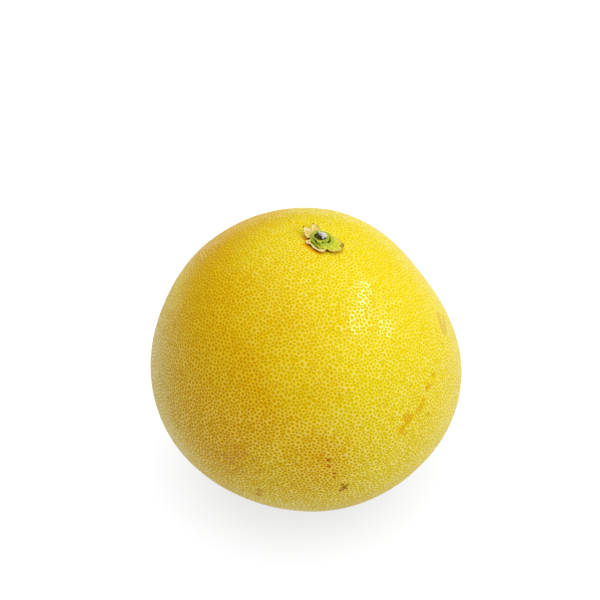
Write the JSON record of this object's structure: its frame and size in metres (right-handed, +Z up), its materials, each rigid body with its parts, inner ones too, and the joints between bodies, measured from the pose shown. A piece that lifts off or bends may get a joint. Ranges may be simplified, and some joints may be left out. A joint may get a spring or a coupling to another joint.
{
  "type": "pomelo fruit",
  "caption": "Whole ripe pink pomelo with dimpled yellow rind, a dry green calyx and a short broken stem, resting on a small flat spot.",
  "frame": {"origin": "on the flat spot that the fruit rests on, under the middle of the fruit", "axes": "+Z up, out of the stem end; +X to the side that the stem leans to; the picture looks along +Y and down"},
  "size_m": [0.1453, 0.1457, 0.1402],
  "materials": {
    "rind": "satin",
    "sepals": "matte",
    "stub": "satin",
    "torn_pith": "matte"
  },
  "bodies": {
    "root": {"fruit": "rind", "calyx": "sepals", "stem": "stub", "pith": "torn_pith"}
  },
  "joints": []
}
